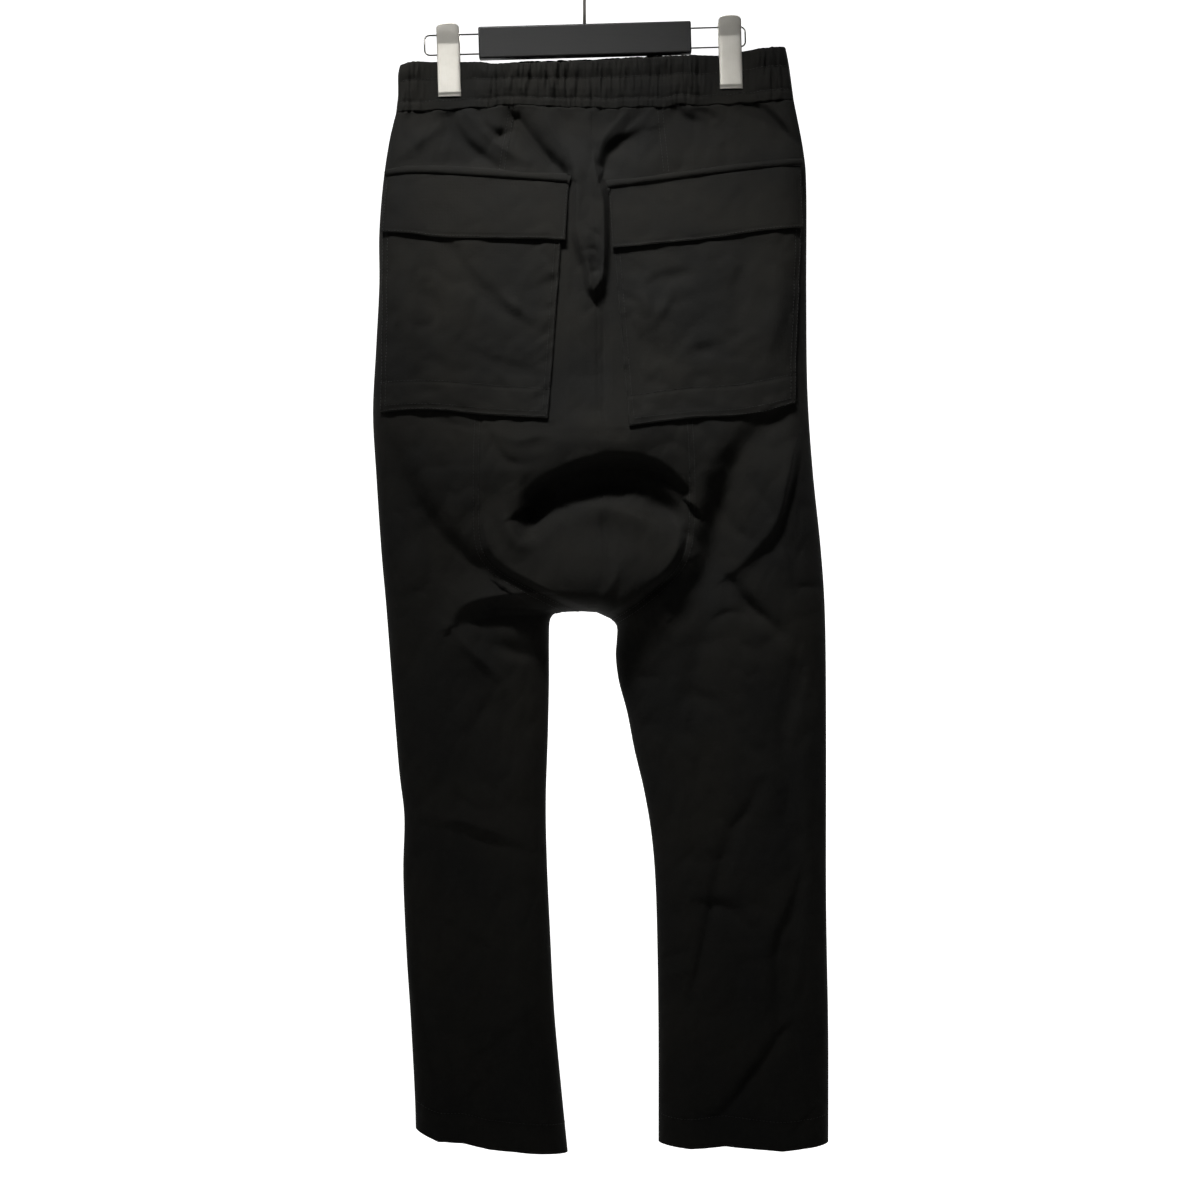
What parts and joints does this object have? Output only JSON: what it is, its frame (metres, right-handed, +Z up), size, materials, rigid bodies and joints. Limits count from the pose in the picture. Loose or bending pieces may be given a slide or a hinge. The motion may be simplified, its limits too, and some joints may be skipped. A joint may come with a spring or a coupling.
{
  "type": "harem trousers on a clip hanger",
  "caption": "Black cotton harem trousers with a dropped seat, gathered waistband and large flapped back pockets, hung flat by the waist from a clip hanger.",
  "frame": {"origin": "inside top of the hanger hook's bend, where the rail carries it", "axes": "+Z up, +Y towards the front of the garment, so the back faces -Y, and +X to the right seen from the back"},
  "size_m": [0.4371, 0.1112, 1.1734],
  "materials": {
    "black_cotton": "matte, with a faint sheen along the folds",
    "black_bar": "satin",
    "steel_wire": "satin",
    "nickel_clips": "satin"
  },
  "bodies": {
    "root": {"waistband_back": "black_cotton", "waistband_front": "black_cotton", "back_leg_left": "black_cotton", "back_leg_right": "black_cotton", "back_seat_left": "black_cotton", "back_seat_right": "black_cotton", "front_leg_left": "black_cotton", "front_leg_right": "black_cotton", "pocket_left": "black_cotton", "pocket_right": "black_cotton", "flap_left": "black_cotton", "flap_right": "black_cotton", "welt_left": "black_cotton", "welt_right": "black_cotton", "hanger_bar": "black_bar", "hanger_hook": "steel_wire", "hanger_loop_left": "steel_wire", "hanger_loop_right": "steel_wire", "clip_left_face": "nickel_clips", "clip_left_rear": "nickel_clips", "clip_left_spring": "nickel_clips", "clip_right_face": "nickel_clips", "clip_right_rear": "nickel_clips", "clip_right_spring": "nickel_clips"}
  },
  "joints": []
}
